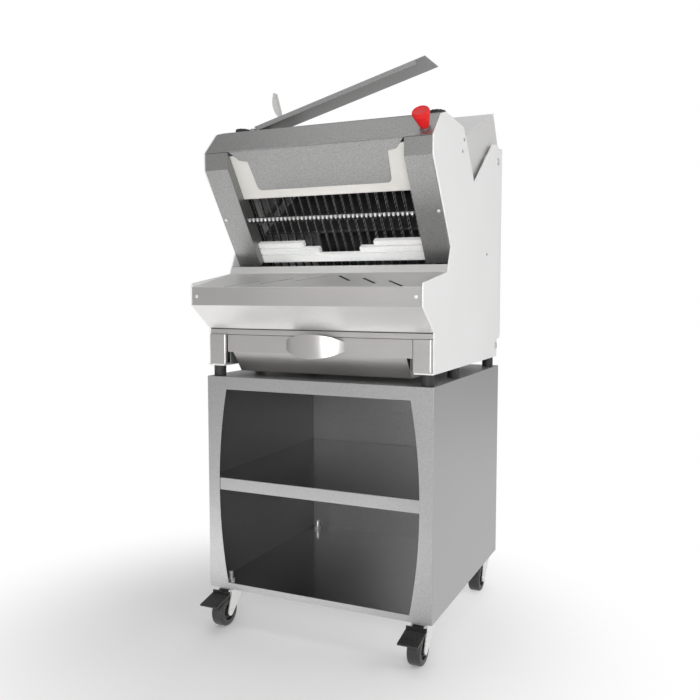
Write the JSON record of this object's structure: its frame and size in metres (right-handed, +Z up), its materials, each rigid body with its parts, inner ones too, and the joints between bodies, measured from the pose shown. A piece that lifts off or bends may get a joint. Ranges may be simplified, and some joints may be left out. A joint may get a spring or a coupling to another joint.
{
  "type": "bread slicer",
  "caption": "Bakery bread slicer with leaning reciprocating blade frames, sloping loading chute, outlet table and crumb drawer on an open-fronted trolley with braked casters.",
  "frame": {"origin": "on the ground under the middle of the whole machine", "axes": "+X to the right seen from the front, +Y to the back, +Z up"},
  "size_m": [0.6, 0.69, 1.4008],
  "materials": {
    "cabinet_paint": "fine-textured silver-grey powder coat",
    "cabinet_inner": "dark grey powder coat",
    "white_paint": "smooth white powder coat",
    "grey_paint": "metallic grey textured coat",
    "stainless": "brushed stainless sheet",
    "polished_steel": "ground steel",
    "zinc": "zinc plated",
    "base_paint": "grey paint",
    "black_rubber": "matt black rubber",
    "wheel_black": "black wheel tread",
    "black_plastic": "black moulded plastic",
    "white_plastic": "white food-safe plastic",
    "ivory_plastic": "ivory sheet",
    "red_plastic": "red plastic",
    "blade_steel": "ground blade steel",
    "frame_iron": "dark painted iron",
    "motor_paint": "blue-grey paint",
    "pusher_alu": "satin aluminium"
  },
  "bodies": {
    "machine": {"cabinet_front_frame": "cabinet_paint", "cabinet_left_side": "cabinet_paint", "cabinet_right_side": "cabinet_paint", "cabinet_top": "cabinet_paint", "cabinet_floor": "cabinet_inner", "cabinet_back": "cabinet_inner", "cabinet_shelf": "cabinet_paint", "caster_stems": "zinc", "rubber_feet": "black_rubber", "base_frame": "base_paint", "base_front_posts": "stainless", "left_side_panel": "white_paint", "right_side_panel": "white_paint", "slicing_table": "stainless", "front_posts": "grey_paint", "front_fascia": "grey_paint", "tongue_panel": "grey_paint", "guard_panel": "ivory_plastic", "outlet_slats": "white_plastic", "blade_guide_comb": "stainless", "guide_rods": "polished_steel", "guide_brackets": "frame_iron", "crank_bearings": "frame_iron", "motor": "motor_paint", "drive_belt": "black_rubber", "bread_bed": "stainless", "loading_hood": "cabinet_paint", "pusher_rails": "polished_steel", "rear_cover": "white_paint", "top_cover": "grey_paint", "flap_hinge_pin": "polished_steel", "rubber_bumpers": "black_rubber", "stop_collar": "grey_paint", "panel_fasteners": "zinc"},
    "drawer": {"crumb_drawer": "stainless", "drawer_pull": "stainless"},
    "flap": {"top_flap": "grey_paint", "flap_grip": "white_plastic"},
    "stop_head": {"stop_button": "red_plastic"},
    "pusher_slide": {"pusher": "pusher_alu"},
    "lid": {"hood_lid": "cabinet_paint"},
    "frame_a": {"blade_frame_a": "frame_iron", "blades_a": "blade_steel"},
    "frame_b": {"blade_frame_b": "frame_iron", "blades_b": "blade_steel"},
    "crank": {"crank_shaft": "polished_steel", "crank_pulley": "frame_iron"},
    "rod_a": {"connecting_rod_a": "frame_iron"},
    "rod_b": {"connecting_rod_b": "frame_iron"},
    "motor_rotor": {"motor_pulley": "frame_iron"},
    "fork_fl": {"caster_fork_fl": "zinc"},
    "wheel_fl": {"caster_wheel_fl": "wheel_black"},
    "fork_fr": {"caster_fork_fr": "zinc"},
    "wheel_fr": {"caster_wheel_fr": "wheel_black"},
    "fork_rl": {"caster_fork_rl": "zinc"},
    "wheel_rl": {"caster_wheel_rl": "wheel_black"},
    "fork_rr": {"caster_fork_rr": "zinc"},
    "wheel_rr": {"caster_wheel_rr": "wheel_black"},
    "pedal_fl": {"brake_pedal_fl": "black_plastic"},
    "pedal_fr": {"brake_pedal_fr": "black_plastic"}
  },
  "joints": [
    {"name": "drawer_slide", "type": "slide", "parent": "machine", "child": "drawer", "axis": [0, -1, 0], "range_m": [0, 0.2]},
    {"name": "flap_hinge", "type": "hinge", "parent": "machine", "child": "flap", "pos_m": [-0.232, -0.11058, 1.26779], "axis": [0, -1, 0], "range_deg": [-15, 60]},
    {"name": "stop_press", "type": "slide", "parent": "machine", "child": "stop_head", "axis": [0, 0.7203, -0.6936], "range_m": [0, 0.006], "stiffness_N_per_m": 1500},
    {"name": "pusher_travel", "type": "slide", "parent": "machine", "child": "pusher_slide", "axis": [0, -0.832, -0.5548], "range_m": [0, 0.425]},
    {"name": "lid_hinge", "type": "hinge", "parent": "machine", "child": "lid", "pos_m": [0, 0.00435, 1.23771], "axis": [1, 0, 0], "range_deg": [0, 70]},
    {"name": "frame_a_stroke", "type": "slide", "parent": "machine", "child": "frame_a", "axis": [0, -0.5548, 0.832], "range_m": [-0.012, 0.012]},
    {"name": "frame_b_stroke", "type": "slide", "parent": "machine", "child": "frame_b", "axis": [0, -0.5548, 0.832], "range_m": [-0.012, 0.012]},
    {"name": "crank_spin", "type": "hinge", "parent": "machine", "child": "crank", "pos_m": [0, 0.02634, 0.79922], "axis": [1, 0, 0], "continuous": true},
    {"name": "rod_a_pivot", "type": "hinge", "parent": "crank", "child": "rod_a", "pos_m": [-0.04, 0.03632, 0.80588], "axis": [1, 0, 0], "continuous": true},
    {"name": "rod_b_pivot", "type": "hinge", "parent": "crank", "child": "rod_b", "pos_m": [0.04, 0.01635, 0.79256], "axis": [1, 0, 0], "continuous": true},
    {"name": "motor_spin", "type": "hinge", "parent": "machine", "child": "motor_rotor", "pos_m": [0.19, 0.195, 0.754], "axis": [1, 0, 0], "continuous": true},
    {"name": "swivel_fl", "type": "hinge", "parent": "machine", "child": "fork_fl", "pos_m": [-0.264, -0.234, 0.09], "axis": [0, 0, 1], "continuous": true},
    {"name": "wheel_spin_fl", "type": "hinge", "parent": "fork_fl", "child": "wheel_fl", "pos_m": [-0.264, -0.266, 0.0375], "axis": [1, 0, 0], "continuous": true},
    {"name": "swivel_fr", "type": "hinge", "parent": "machine", "child": "fork_fr", "pos_m": [0.264, -0.234, 0.09], "axis": [0, 0, 1], "continuous": true},
    {"name": "wheel_spin_fr", "type": "hinge", "parent": "fork_fr", "child": "wheel_fr", "pos_m": [0.264, -0.266, 0.0375], "axis": [1, 0, 0], "continuous": true},
    {"name": "swivel_rl", "type": "hinge", "parent": "machine", "child": "fork_rl", "pos_m": [-0.264, 0.266, 0.09], "axis": [0, 0, 1], "continuous": true},
    {"name": "wheel_spin_rl", "type": "hinge", "parent": "fork_rl", "child": "wheel_rl", "pos_m": [-0.264, 0.234, 0.0375], "axis": [1, 0, 0], "continuous": true},
    {"name": "swivel_rr", "type": "hinge", "parent": "machine", "child": "fork_rr", "pos_m": [0.264, 0.266, 0.09], "axis": [0, 0, 1], "continuous": true},
    {"name": "wheel_spin_rr", "type": "hinge", "parent": "fork_rr", "child": "wheel_rr", "pos_m": [0.264, 0.234, 0.0375], "axis": [1, 0, 0], "continuous": true},
    {"name": "pedal_press_fl", "type": "hinge", "parent": "fork_fl", "child": "pedal_fl", "pos_m": [-0.264, -0.265, 0.0877], "axis": [1, 0, 0], "range_deg": [0, 10]},
    {"name": "pedal_press_fr", "type": "hinge", "parent": "fork_fr", "child": "pedal_fr", "pos_m": [0.264, -0.265, 0.0877], "axis": [1, 0, 0], "range_deg": [0, 10]}
  ],
  "couplings": [
    {"joint": "frame_b_stroke", "follows": "frame_a_stroke", "ratio": -1},
    {"joint": "motor_spin", "follows": "crank_spin", "ratio": 2},
    {"joint": "rod_a_pivot", "follows": "crank_spin", "ratio": -1},
    {"joint": "rod_b_pivot", "follows": "crank_spin", "ratio": -1}
  ]
}
